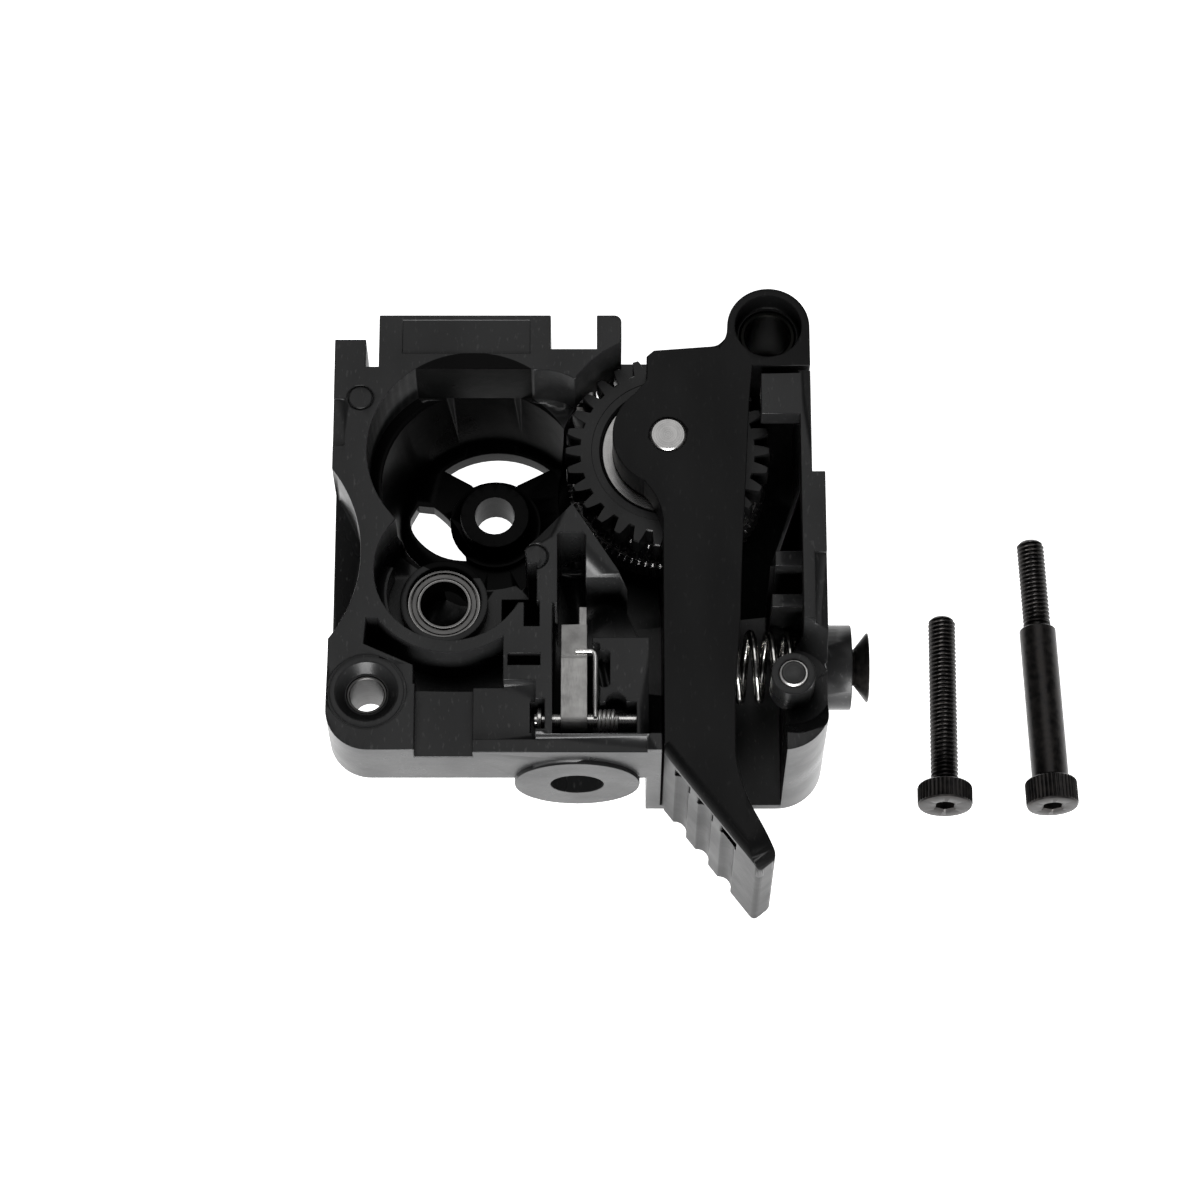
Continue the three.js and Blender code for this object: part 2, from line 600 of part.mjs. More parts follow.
// A coil along x. Its last turn is closed up when it has a pitch of its own.
class Helix extends THREE.Curve {
  constructor({ start, end, y, z, radius, turns, phase = 0, lastPitch = (end - start) / turns }) {
    super();
    const pitch = (end - start - lastPitch) / (turns - 1);
    Object.assign(this, { start, y, z, radius, turns, phase, pitch, lastPitch });
  }

  getPoint(t, target = new THREE.Vector3()) {
    const done = t * this.turns;
    const closed = Math.max(0, done - (this.turns - 1));
    const angle = this.phase + done * Math.PI * 2;
    const x = this.start + (done - closed) * this.pitch + closed * this.lastPitch;
    return target.set(x, this.y + this.radius * Math.cos(angle), this.z + this.radius * Math.sin(angle));
  }
}

function tensionSpring() {
  const half = SPRING.wire / 2;
  const coil = new Helix({
    start: SPRING.x0 + half, end: SPRING.x1 - half, y: SPRING.y, z: SPRING.z, radius: SPRING.outer - half,
    turns: SPRING.turns, phase: -SPRING.turns * Math.PI * 2, lastPitch: SPRING.closedPitch,
  });
  return wire(coil, 76, SPRING.wire, 4);
}

// Coil around the lever's pin, with a leg that hooks over the front of the lever.
function torsionSpring() {
  const half = TORSION.wire / 2;
  const coil = new Helix({
    start: TORSION.x1 - half, end: TORSION.x0 + half, y: LEVER_PIN.y, z: LEVER_PIN.z, radius: TORSION.mean,
    turns: TORSION.turns, phase: Math.PI / 2,
  });
  const points = coil.getPoints(60);
  const legX = TORSION.x0 + half;
  const legZ = 19.55;
  points.push(
    new THREE.Vector3(legX, LEVER_PIN.y + 1.2, LEVER_PIN.z + TORSION.mean + 0.1),
    new THREE.Vector3(legX, -9, legZ - 0.2),
    new THREE.Vector3(legX, -6.3, legZ),
    new THREE.Vector3(legX - 0.25, -5.7, legZ),
    new THREE.Vector3(legX - 0.8, -5.6, legZ),
    new THREE.Vector3(-0.1, -5.6, legZ),
  );
  return wire(new THREE.CatmullRomCurve3(points, false, "centripetal"), 90, TORSION.wire, 3);
}

// A short metal bush that guides the filament into or out of the housing.
function filamentBush(y0, y1, radius) {
  return barY(0, PATH_Z, y0, y1, radius, radius, SMALL_ROUND)
    .subtract(barY(0, PATH_Z, y0 - OVER, y1 + OVER, FILAMENT_BORE, FILAMENT_BORE, 20));
}

// ---------------------------------------------------------------- steel lever

function steelLever() {
  const top = LEVER_PIN.z + LEVER.eye;
  const strip = polygon([
    [LEVER_PIN.y, top], [-11.6, top], [-6.3, top - 0.1], [-5.9, top + 0.1], [-2.2, top - 0.55],
    [-2.2, top - 0.55 - LEVER.sheet], [-5.9, top - LEVER.sheet + 0.1], [-6.3, top - LEVER.sheet - 0.1],
    [-11.6, top - LEVER.sheet], [LEVER_PIN.y, top - LEVER.sheet],
  ]);
  const along = (shape, x0, x1) => {
    const geometry = new THREE.ExtrudeGeometry(shape, { depth: x1 - x0, bevelEnabled: false });
    geometry.rotateY(Math.PI / 2);
    geometry.rotateX(Math.PI / 2);
    geometry.translate(x0, 0, 0);
    return solid(geometry);
  };
  const finger = box(0.2, 1.05, -2.5, -0.2, top - 1.15, top - 0.55);
  const eye = barX(LEVER.x0, LEVER.x1, LEVER_PIN.y, LEVER_PIN.z, LEVER.eye);
  const bore = barX(LEVER.x0 - OVER, LEVER.x1 + OVER, LEVER_PIN.y, LEVER_PIN.z, LEVER_PIN.radius + RUN);
  return cut(join(along(strip, LEVER.x0, LEVER.x1), finger, eye), bore);
}

// ---------------------------------------------------------------- tension adjuster

function springCup() {
  return join(
    barX(CUP.x1, CUP.x2, SPRING.y, SPRING.z, CUP.radius),
    barX(CUP.x0, CUP.x1 + 0.2, SPRING.y, SPRING.z, CUP.stub),
  );
}

function tensionNut() {
  return barX(RIGHT - 0.9, TENSION.bossEnd - 0.05, SPRING.y, SPRING.z, 2.85)
    .subtract(barX(RIGHT - 3, TENSION.bossEnd + OVER, SPRING.y, SPRING.z, TENSION.shank + RUN));
}

function tensionScrew() {
  const socket = new THREE.CylinderGeometry(1.35, 1.35, 1.4, 6);
  socket.rotateZ(-Math.PI / 2);
  socket.translate(TENSION.headEnd, SPRING.y, SPRING.z);
  return cut(
    join(
      barX(TENSION.tip, TENSION.headStart + 0.1, SPRING.y, SPRING.z, TENSION.shank),
      barX(TENSION.headStart, TENSION.headEnd, SPRING.y, SPRING.z, TENSION.shank + 0.3, TENSION.head),
    ),
    solid(socket),
  );
}

// ---------------------------------------------------------------- ball bearing

function ballCage() {
  const pitch = (BEARING.outer + BEARING.bore) / 2;
  const middle = (BEARING.z0 + BEARING.z1) / 2;
  const ring = tubeZ(0, 0, middle - 0.2, middle + 0.2, pitch + 0.1, pitch - 0.1, SMALL_ROUND);
  const balls = Array.from({ length: 8 }, (_, i) => {
    const ball = new THREE.SphereGeometry(0.26, 8, 5);
    const angle = (i * Math.PI) / 4;
    ball.translate(pitch * Math.cos(angle), pitch * Math.sin(angle), middle);
    return solid(ball);
  });
  return join(ring, ...balls).translate([BEARING.x, BEARING.y, 0]);
}

// ---------------------------------------------------------------- loose screws of the kit

// A cap screw drawn along +y from the face of its head, to be laid on the table.
function capScrew({ head, headLength, shoulder = 0, shoulderLength = 0, thread, threadLength, socket }) {
  const pieces = [barY(0, 0, 0, headLength, head, head, SMALL_ROUND)];
  let y = headLength;
  if (shoulderLength > 0) {
    pieces.push(barY(0, 0, y - 0.1, y + shoulderLength, shoulder, shoulder, SMALL_ROUND));
    y += shoulderLength;
  }
  pieces.push(barY(0, 0, y - 0.1, y + threadLength - 0.4, thread, thread, 24));
  pieces.push(barY(0, 0, y + threadLength - 0.4, y + threadLength, thread, thread - 0.35, 24));
  const hexagon = barY(0, 0, -OVER, headLength * 0.55, socket, socket, 6);
  return { body: cut(join(...pieces), hexagon), length: y + threadLength };
}

// The screw lies with the rim of its head and the end of its thread on the table.
function layDown(screw, head, tip, x, y, lean) {
  const dip = Math.atan2(head - tip, screw.length);
  const body = screw.body.rotate([-THREE.MathUtils.radToDeg(dip), 0, 0]).rotate([0, 0, lean]);
  return body.translate([x, y, -body.boundingBox().min[2]]);
}

// ---------------------------------------------------------------- assembly

part("housing", housing(), blackPlastic);
part("arm", arm(), blackPlastic);

part("idler_gear", idlerGear(), gearPlastic);
part("hob_wheel", hobWheel(), steel);
part("idler_axle", idlerAxle(), steel);
part("needle_bearing_front",
  tubeZ(IDLER.x, IDLER.y, PATH_Z + 0.1, HOB.z1, 3.5, IDLER.axle + RUN, SMALL_ROUND), steel);
part("needle_bearing_rear",
  tubeZ(IDLER.x, IDLER.y, KNURLED_RIM.z0 + 0.1, PATH_Z - 0.1, 3.5, IDLER.axle + RUN, SMALL_ROUND), steel);
part("thrust_washer_front",
  tubeZ(IDLER.x, IDLER.y, HOB.z1 + 0.1, ARM_PLATE_BACK - 0.1, 4.2, IDLER.axle + RUN, SMALL_ROUND), steel);
part("thrust_washer_rear",
  tubeZ(IDLER.x, IDLER.y, ARM_EAR.z1 + 0.05, KNURLED_RIM.z0 - 0.05, 4.2, IDLER.axle + RUN, SMALL_ROUND), steel);
part("pivot_bushing",
  tubeZ(PIVOT.x, PIVOT.y, PIVOT_SPLIT + 0.1, FRONT - PIVOT.counterboreDepth - 0.1, PIVOT.hole + 0.6, PIVOT.hole,
    SMALL_ROUND), blackSteel);

part("tension_spring", tensionSpring(), springSteel);
part("spring_cup", springCup(), blackSteel);
part("tension_nut", tensionNut(), blackSteel);
part("tension_screw", tensionScrew(), blackSteel);

part("bearing_outer_ring",
  tubeZ(BEARING.x, BEARING.y, BEARING.z0, BEARING.z1, BEARING.outer, 3.55), steel);
part("bearing_inner_ring",
  tubeZ(BEARING.x, BEARING.y, BEARING.z0, BEARING.z1, 2.95, BEARING.bore), steel);
part("bearing_cage", ballCage(), steel);
part("bearing_shield",
  tubeZ(BEARING.x, BEARING.y, BEARING.z1 - 0.35, BEARING.z1 - 0.15, 3.5, 3, SMALL_ROUND), steel);

part("filament_lever", steelLever(), sheetSteel);
part("torsion_spring", torsionSpring(), sheetSteel);
part("lever_pin", barX(LEVER_PIN.x0, LEVER_PIN.x1, LEVER_PIN.y, LEVER_PIN.z, LEVER_PIN.radius), steel);
part("pin_clip",
  barX(LEVER_PIN.clip, LEVER_PIN.clip + 0.5, LEVER_PIN.y, LEVER_PIN.z, 1.35)
    .subtract(barX(LEVER_PIN.x0 - OVER, 0, LEVER_PIN.y, LEVER_PIN.z, LEVER_PIN.radius + RUN)), sheetSteel);

part("mount_sleeve",
  tubeZ(CORNER.x, CORNER.y, PLATE_BACK + 0.2, CORNER.sleeveEnd, CORNER.seat, CORNER.bore, SMALL_ROUND), steel);
part("guide_pin",
  barZ(GUIDE.x, GUIDE.y, GUIDE.z0 + 0.5, FRONT + 0.3, GUIDE.radius, GUIDE.radius, SMALL_ROUND), blackSteel);
part("outlet_insert", filamentBush(OUTLET.face + 5, OUTLET.face + OUTLET.depth - 0.1, OUTLET.hole - RUN), steel);
part("inlet_insert", filamentBush(26.1, 29.2, 2.05), steel);

const mountScrew = capScrew({
  head: 3, headLength: 2.4, thread: 1.5, threadLength: 20, socket: 1.15,
});
part("mount_screw", layDown(mountScrew, 3, 1.15, 39.9, -17.6, -1), blackSteel);
const shoulderScrew = capScrew({
  head: 2.85, headLength: 3, shoulder: 2, shoulderLength: 18, thread: 1.5, threadLength: 10.5, socket: 1.15,
});
part("shoulder_screw", layDown(shoulderScrew, 2.85, 1.15, 51.6, -17.6, 2.2), blackSteel);

const assembly = new THREE.Group();
assembly.add(...meshes);

export default assembly;
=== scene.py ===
import math

import bmesh
import bpy
import numpy as np
from mathutils import Matrix, Vector
from mathutils.bvhtree import BVHTree


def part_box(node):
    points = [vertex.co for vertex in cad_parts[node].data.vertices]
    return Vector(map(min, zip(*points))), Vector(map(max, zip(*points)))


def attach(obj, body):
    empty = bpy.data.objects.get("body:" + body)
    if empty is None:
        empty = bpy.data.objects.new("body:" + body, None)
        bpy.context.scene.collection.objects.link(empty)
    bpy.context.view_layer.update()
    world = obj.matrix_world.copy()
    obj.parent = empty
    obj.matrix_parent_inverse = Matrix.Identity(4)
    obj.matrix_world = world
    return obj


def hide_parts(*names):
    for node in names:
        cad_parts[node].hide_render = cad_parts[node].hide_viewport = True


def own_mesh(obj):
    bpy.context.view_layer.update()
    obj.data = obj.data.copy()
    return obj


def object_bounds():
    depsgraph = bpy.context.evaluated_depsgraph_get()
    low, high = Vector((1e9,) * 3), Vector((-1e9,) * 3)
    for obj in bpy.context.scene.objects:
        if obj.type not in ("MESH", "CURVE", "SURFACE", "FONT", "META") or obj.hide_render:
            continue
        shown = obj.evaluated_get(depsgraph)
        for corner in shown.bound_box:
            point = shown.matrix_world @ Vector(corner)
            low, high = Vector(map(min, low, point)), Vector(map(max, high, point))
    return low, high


# An extruder gear assembly: the moulded housing and arm keep the CAD shape with rounded edges, and the
# turned, coiled and threaded pieces are built again here with their fine shape. Helper functions take
# millimetres, and every mesh is scaled to metres when it is made.

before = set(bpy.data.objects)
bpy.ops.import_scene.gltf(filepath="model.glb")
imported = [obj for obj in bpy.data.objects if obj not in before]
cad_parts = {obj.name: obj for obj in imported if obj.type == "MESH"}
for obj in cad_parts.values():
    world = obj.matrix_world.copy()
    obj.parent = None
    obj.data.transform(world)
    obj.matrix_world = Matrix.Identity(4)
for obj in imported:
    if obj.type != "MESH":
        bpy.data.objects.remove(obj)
cad_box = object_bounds()

MM = 0.001
TAU = 2 * math.pi
AXES = {"X": 0, "Y": 1, "Z": 2}
SMOOTH_ANGLE = math.radians(32)


# ---------------------------------------------------------------- mesh helpers

def make_piece(name, vertices, faces):
    """A mesh object from points in millimetres, with its faces pointing out and smooth shading."""
    mesh = bpy.data.meshes.new(name)
    mesh.from_pydata([tuple(v) for v in np.asarray(vertices) * MM], [], faces)
    shape = bmesh.new()
    shape.from_mesh(mesh)
    bmesh.ops.recalc_face_normals(shape, faces=shape.faces)
    shape.to_mesh(mesh)
    shape.free()
    piece = bpy.data.objects.new(name, mesh)
    bpy.context.scene.collection.objects.link(piece)
    mesh.shade_smooth()
    mesh.set_sharp_from_angle(angle=SMOOTH_ANGLE)
    return piece


def grid_faces(rows, columns, closed):
    """Quads between neighbouring rows of points that run round a loop."""
    faces = []
    for row in range(rows if closed else rows - 1):
        here, above = row * columns, (row + 1) % rows * columns
        for column in range(columns):
            beside = (column + 1) % columns
            faces.append((here + column, here + beside, above + beside, above + column))
    if not closed:
        faces.append(tuple(range(columns)))
        faces.append(tuple(range((rows - 1) * columns, rows * columns)))
    return faces


def ring_points(rings, steps, axis, centre):
    """Points of rings round an axis. A ring is (place along the axis, radius), and its radius may be
    a function of the angles and the place."""
    angles = np.arange(steps) * TAU / steps
    points = []
    for place, radius in rings:
        r = radius(angles, place) if callable(radius) else np.full(steps, radius)
        points.append(np.stack([r * np.cos(angles), r * np.sin(angles), np.full(steps, place)], axis=1))
    points = np.roll(np.concatenate(points), AXES[axis] + 1, axis=1)
    across = [i for i in range(3) if i != AXES[axis]]
    points[:, across] += np.array(centre)[across]
    return points


def turned(name, rings, axis, centre, steps=96, closed=False):
    """A turned piece. Its rings are closed by flat ends, or join up into a tube when closed is true."""
    points = ring_points(rings, steps, axis, centre)
    return make_piece(name, points, grid_faces(len(rings), steps, closed))


def rod_rings(start, end, radius, chamfer):
    """Rings of a rod with a chamfer at both ends."""
    return [
        (start, radius - chamfer), (start + chamfer, radius),
        (end - chamfer, radius), (end, radius - chamfer),
    ]


def tube_rings(start, end, outer, inner, chamfer):
    """Rings of a tube or washer with chamfered edges, as a closed section."""
    return [
        (start, inner + chamfer), (start, outer - chamfer), (start + chamfer, outer),
        (end - chamfer, outer), (end, outer - chamfer), (end, inner + chamfer),
        (end - chamfer, inner), (start + chamfer, inner),
    ]


def swept_wire(name, path, diameter, sides=12, x_limits=None):
    """A round wire along a list of points. x_limits grinds both ends of a coil flat."""
    path = np.asarray(path, float)
    tangents = np.gradient(path, axis=0)
    tangents /= np.linalg.norm(tangents, axis=1)[:, None]
    normal = np.cross(tangents[0], (0.0, 0.3, 1.0))
    angles = np.arange(sides) * TAU / sides
    rows = []
    for point, tangent in zip(path, tangents):
        normal = normal - tangent * (normal @ tangent)
        normal /= np.linalg.norm(normal)
        side = np.cross(tangent, normal)
        section = np.outer(np.cos(angles), normal) + np.outer(np.sin(angles), side)
        rows.append(point + diameter / 2 * section)
    points = np.concatenate(rows)
    if x_limits:
        points[:, 0] = np.clip(points[:, 0], *x_limits)
    return make_piece(name, points, grid_faces(len(path), sides, False))


def span(node, axis):
    """Start, end, centre and half width of a CAD node, in millimetres, along and across an axis."""
    low, high = (np.array(corner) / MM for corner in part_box(node))
    along = AXES[axis]
    across = (along + 1) % 3
    return low[along], high[along], (low + high) / 2, (high - low)[across] / 2


# ---------------------------------------------------------------- shapes that change with the angle

def hexagon(radius):
    """A hexagon as a radius, measured to its corners."""
    flat = radius * math.cos(math.pi / 6)
    return lambda angles, place: flat / np.cos((angles % (TAU / 6)) - TAU / 12)


def knurl(radius, ridges, depth):
    """Round ridges along the axis, with narrow grooves between them."""
    return lambda angles, place: radius - depth * np.abs(np.sin(angles * ridges / 2)) ** 0.7


def teeth(count, root, tip, root_share, tip_share, inset=0.0):
    """Straight-sided teeth with a tooth at angle zero. The shares are of one tooth's pitch."""
    def radius(angles, place):
        from_middle = np.abs((angles * count / TAU + 0.5) % 1 - 0.5)
        flank = (from_middle - tip_share / 2) / (root_share / 2 - tip_share / 2)
        rounded = np.clip(flank, 0, 1) ** 1.25
        return tip - (tip - root) * rounded - inset
    return radius


THREAD_CREST = 1 / 8           # flat of a thread's crest and root, as shares of its pitch
THREAD_ROOT = 1 / 4
THREAD_DEPTH = 0.61            # depth of a thread as a share of its pitch
RINGS_PER_PITCH = 12


def thread_rings(start, end, radius, pitch, chamfer):
    """Rings of a rod with a screw thread, which fades in at its start and has a chamfer at its end."""
    def thread(angles, place):
        from_crest = 2 * np.abs((place / pitch - angles / TAU) % 1 - 0.5)
        groove = np.clip((from_crest - THREAD_CREST) / (1 - THREAD_CREST - THREAD_ROOT), 0, 1)
        fade = min(1, (place - start) / pitch)
        lead = max(0, place - (end - chamfer))
        return np.minimum(radius - THREAD_DEPTH * pitch * groove * fade, radius - lead)
    count = max(2, round((end - start) / pitch * RINGS_PER_PITCH))
    return [(place, thread) for place in np.linspace(start, end, count)]


# ---------------------------------------------------------------- material helpers

class Surface:
    """A procedural material: a Principled shader, and textures placed in the object's own space."""

    def __init__(self, name, **values):
        self.material = bpy.data.materials.new(name)
        self.material.use_nodes = True
        self.tree = self.material.node_tree
        self.shader = self.tree.nodes["Principled BSDF"]
        for socket, value in values.items():
            self.shader.inputs[socket.replace("_", " ")].default_value = value
        self.place = self.tree.nodes.new("ShaderNodeTexCoord").outputs["Object"]
        self.normal = None

    def link(self, source, target):
        self.tree.links.new(source, target)

    def node(self, kind, **settings):
        made = self.tree.nodes.new(kind)
        for setting, value in settings.items():
            setattr(made, setting, value)
        return made

    def stretched(self, stretch, place=None):
        mapping = self.node("ShaderNodeMapping")
        mapping.inputs["Scale"].default_value = stretch
        self.link(place or self.place, mapping.inputs["Vector"])
        return mapping.outputs["Vector"]

    def noise(self, size, detail=3.0, stretch=(1, 1, 1), place=None):
        """Noise with features of about size millimetres."""
        made = self.node("ShaderNodeTexNoise")
        made.inputs["Scale"].default_value = 1 / (size * MM)
        made.inputs["Detail"].default_value = detail
        self.link(self.stretched(stretch, place), made.inputs["Vector"])
        return made.outputs["Fac"]

    def between(self, value, low, high, start=0.3, end=0.7):
        """A value carried from the range start..end to low..high."""
        made = self.node("ShaderNodeMapRange")
        for socket, number in zip(("From Min", "From Max", "To Min", "To Max"), (start, end, low, high)):
            made.inputs[socket].default_value = number
        self.link(value, made.inputs["Value"])
        return made.outputs["Result"]

    def blend_colour(self, share, first, second):
        """A blend of two colours, each given as numbers or as the output of a node."""
        made = self.node("ShaderNodeMix", data_type="RGBA")
        for socket, colour in (("A", first), ("B", second)):
            if isinstance(colour, tuple):
                made.inputs[socket].default_value = (*colour, 1)
            else:
                self.link(colour, made.inputs[socket])
        self.link(share, made.inputs["Factor"])
        return made.outputs["Result"]

    def colour(self, source):
        self.link(source, self.shader.inputs["Base Color"])

    def roughness(self, source):
        self.link(source, self.shader.inputs["Roughness"])

    def bump(self, height, depth, strength=1.0):
        """Adds relief of depth millimetres on top of the relief that is there."""
        made = self.node("ShaderNodeBump")
        made.inputs["Strength"].default_value = strength
        made.inputs["Distance"].default_value = depth * MM
        self.link(height, made.inputs["Height"])
        if self.normal:
            self.link(self.normal, made.inputs["Normal"])
        self.normal = made.outputs["Normal"]
        self.link(self.normal, self.shader.inputs["Normal"])

    def distance(self, axis, centre):
        """Distance from an axis in metres."""
        split = self.node("ShaderNodeSeparateXYZ")
        self.link(self.round_axis(axis, centre), split.inputs["Vector"])
        return split.outputs["X"]

    def round_axis(self, axis, centre):
        """Coordinates of a lathe: distance from the axis, then place along it."""
        shift = self.node("ShaderNodeVectorMath", operation="SUBTRACT")
        shift.inputs[1].default_value = tuple(c * MM for c in centre)
        self.link(self.place, shift.inputs[0])
        split = self.node("ShaderNodeSeparateXYZ")
        self.link(shift.outputs["Vector"], split.inputs["Vector"])
        flat = self.node("ShaderNodeVectorMath", operation="MULTIPLY")
        flat.inputs[1].default_value = tuple(0 if letter == axis else 1 for letter in AXES)
        self.link(shift.outputs["Vector"], flat.inputs[0])
        length = self.node("ShaderNodeVectorMath", operation="LENGTH")
        self.link(flat.outputs["Vector"], length.inputs[0])
        pair = self.node("ShaderNodeCombineXYZ")
        self.link(length.outputs["Value"], pair.inputs["X"])
        self.link(split.outputs[axis], pair.inputs["Y"])
        return pair.outputs["Vector"]


# ---------------------------------------------------------------- materials

BRIGHT = (0.7, 0.69, 0.67)
GREY = (0.42, 0.415, 0.41)
WHEEL_STEEL = (0.3, 0.295, 0.29)
SATIN = (0.36, 0.355, 0.35)
NUT_STEEL = (0.1, 0.098, 0.095)
# painted shade: steel darkened for pieces that sit in shade, deep in bores and in the bearing
PAINTED_SHADE_STEEL = (0.11, 0.108, 0.106)
DARK = (0.05, 0.05, 0.05)
BUSH_BLACK = (0.012, 0.012, 0.011)
# painted highlight: pale colour laid on the edges of turned metal
PAINTED_EDGE_HIGHLIGHT = (0.9, 0.89, 0.87)
SHEET_TONES = ((0.26, 0.255, 0.25), (0.4, 0.395, 0.385))
OXIDE_TONES = ((0.014, 0.0135, 0.014), (0.034, 0.031, 0.029))
SPRING_TONES = ((0.3, 0.29, 0.28), (0.8, 0.79, 0.76))
BRIGHT_WIRE_TONES = ((0.75, 0.74, 0.72), (0.92, 0.91, 0.89))

FLECK_BRIGHTNESS = 3.2         # pale glass flecks against the plastic round them
FLOW_ROUGHNESS = 0.16          # how much rougher the flow marks get
# painted shade: near black colour laid inside the drive cavity, where shade falls, with its gloss cut to a
# share
PAINTED_CAVITY_SHADE = (0.002, 0.002, 0.002)
CAVITY_SHINE = 1 / 6           # gloss inside the drive cavity, as a share of the gloss outside
CAVITY_BORDER = 0.05
DRIVE_CAVITY = ((-11.3, 17.4, 0), 11.42)
STAIN_DARKNESS = 0.78
RIM_BORDER = 0.04


def moulded_plastic(name, shade, shine, smoothest, cavity=None):
    """Black plastic filled with short glass fibre: a fine mould grain, flow marks and pale flecks.
    cavity gives the axis and radius of a cavity that carries painted shade inside: a near black colour and
    less gloss."""
    surface = Surface(name, IOR=1.5, Specular_IOR_Level=shine)
    flow = surface.noise(7, detail=4, stretch=(1, 0.4, 1))
    flecks = surface.noise(0.35, detail=2, stretch=(1, 0.35, 1))
    fibre = surface.between(flecks, 0, 1, start=0.62, end=0.78)
    dark = tuple(shade * tint for tint in (0.97, 0.98, 1.0))
    pale = tuple(shade * FLECK_BRIGHTNESS for _ in dark)
    tone_and_painted_light = surface.blend_colour(fibre, dark, pale)
    # painted shade: inside the cavity the colour goes near black and the gloss drops
    if cavity:
        centre, radius = cavity
        distance = surface.distance("Z", centre)
        outside = surface.between(distance, 0, 1, (radius - CAVITY_BORDER) * MM, radius * MM)
        tone_and_painted_light = surface.blend_colour(outside, PAINTED_CAVITY_SHADE, tone_and_painted_light)
        gloss = surface.between(outside, shine * CAVITY_SHINE, shine, 0, 1)
        surface.link(gloss, surface.shader.inputs["Specular IOR Level"])
    surface.colour(tone_and_painted_light)
    surface.roughness(surface.between(flow, smoothest, smoothest + FLOW_ROUGHNESS))
    surface.bump(surface.noise(0.16, detail=3), 0.006)
    surface.bump(surface.noise(1.6, detail=2), 0.02)
    return surface.material


def turned_metal(name, axis, centre, colour, roughness, rim=None):
    """Metal finished on a lathe, with fine rings left by the tool and slight stains. Beyond the radius
    rim it carries a painted highlight: a pale ring in place of the glint on an edge."""
    surface = Surface(name, Metallic=1.0)
    lathe = surface.round_axis(axis, centre)
    marks = surface.noise(0.07, detail=2, place=lathe)
    stain = surface.noise(1.1, detail=4)
    darker = tuple(channel * STAIN_DARKNESS for channel in colour)
    tone_and_painted_light = surface.blend_colour(surface.between(stain, 0, 1), darker, colour)
    # painted highlight: a pale ring beyond the radius rim, in place of an edge glint
    if rim:
        distance = surface.distance(axis, centre)
        painted_highlight_share = surface.between(distance, 0, 1, (rim - RIM_BORDER) * MM, (rim + RIM_BORDER) * MM)
        tone_and_painted_light = surface.blend_colour(painted_highlight_share, tone_and_painted_light, PAINTED_EDGE_HIGHLIGHT)
    surface.colour(tone_and_painted_light)
    surface.roughness(surface.between(marks, roughness - 0.07, roughness + 0.1))
    surface.bump(marks, 0.004)
    return surface.material


def rolled_steel(name):
    """Satin sheet steel with fine lines along the strip."""
    surface = Surface(name, Metallic=1.0)
    lines = surface.noise(0.06, detail=3, stretch=(1, 0.05, 1))
    stain = surface.noise(1.4, detail=4)
    surface.colour(surface.blend_colour(surface.between(stain, 0, 1), *SHEET_TONES))
    surface.roughness(surface.between(lines, 0.36, 0.52))
    surface.bump(lines, 0.004)
    return surface.material


def drawn_wire(name, dark, light, roughness):
    """Spring wire with faint drawing marks and an uneven heat tint."""
    surface = Surface(name, Metallic=1.0)
    tint = surface.noise(0.9, detail=4)
    marks = surface.noise(0.09, detail=3, stretch=(0.4, 1, 1))
    surface.colour(surface.blend_colour(surface.between(tint, 0, 1), dark, light))
    surface.roughness(surface.between(marks, roughness - 0.06, roughness + 0.12))
    surface.bump(marks, 0.004)
    return surface.material


def black_oxide(name):
    """Blackened steel of cap screws: dark, oily in places, with a brown tint."""
    surface = Surface(name, Metallic=0.85)
    tint = surface.noise(0.8, detail=5)
    grain = surface.noise(0.08, detail=3)
    surface.colour(surface.blend_colour(surface.between(tint, 0, 1), *OXIDE_TONES))
    surface.roughness(surface.between(tint, 0.28, 0.46))
    surface.bump(grain, 0.005)
    return surface.material


# the housing carries painted shade inside its drive cavity
housing_plastic = moulded_plastic("housing_black_plastic", shade=0.0115, shine=0.24, smoothest=0.24,
                                  cavity=DRIVE_CAVITY)
arm_plastic = moulded_plastic("arm_black_plastic", shade=0.003, shine=0.12, smoothest=0.28)
gear_plastic = moulded_plastic("gear_black_plastic", shade=0.0055, shine=0.28, smoothest=0.3)
sheet_steel = rolled_steel("rolled_sheet_steel")
spring_steel = drawn_wire("blackened_spring_wire", *SPRING_TONES, roughness=0.15)
bright_wire = drawn_wire("bright_spring_wire", *BRIGHT_WIRE_TONES, roughness=0.36)
oxide = black_oxide("black_oxide_steel")


def place_piece(piece, node, body, material):
    """The piece stands for a CAD node, which it hides, moves with its body and takes the given material."""
    piece.data.materials.clear()
    piece.data.materials.append(material)
    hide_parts(node)
    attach(piece, body)
    return piece


# ---------------------------------------------------------------- moulded parts

WELD = 0.0005 * MM
TINY_AREA = 1e-18
FLAT_ANGLE = math.radians(0.4)
EDGE_ANGLE = math.radians(28)
ROOM_TO_ROUND = 2.1            # room that an edge needs on a face, as a multiple of its radius


def narrow_edges(face, room):
    """Edges of a face that come closer than room to another stretch of the face's own outline."""
    corners = np.array([loop.vert.co for loop in face.loops])
    ends = np.roll(corners, -1, axis=0)
    run = ends - corners
    length = np.linalg.norm(run, axis=1)
    walked = np.concatenate([[0], np.cumsum(length)])
    offset = corners[:, None] - corners[None]
    share = np.clip((offset * run[None]).sum(2) / np.maximum(length ** 2, TINY_AREA), 0, 1)
    distance = np.linalg.norm(offset - share[..., None] * run[None], axis=2)
    along = np.abs(walked[:-1, None] - (walked[:-1] + share * length))
    along = np.minimum(along, walked[-1] - along)
    close = (distance < room) & (along > 2.2 * distance + 0.2 * room)
    edges = [loop.edge for loop in face.loops]
    found = set()
    for corner, edge in zip(*np.nonzero(close)):
        found.update((edges[edge], edges[corner], edges[corner - 1]))
    return found


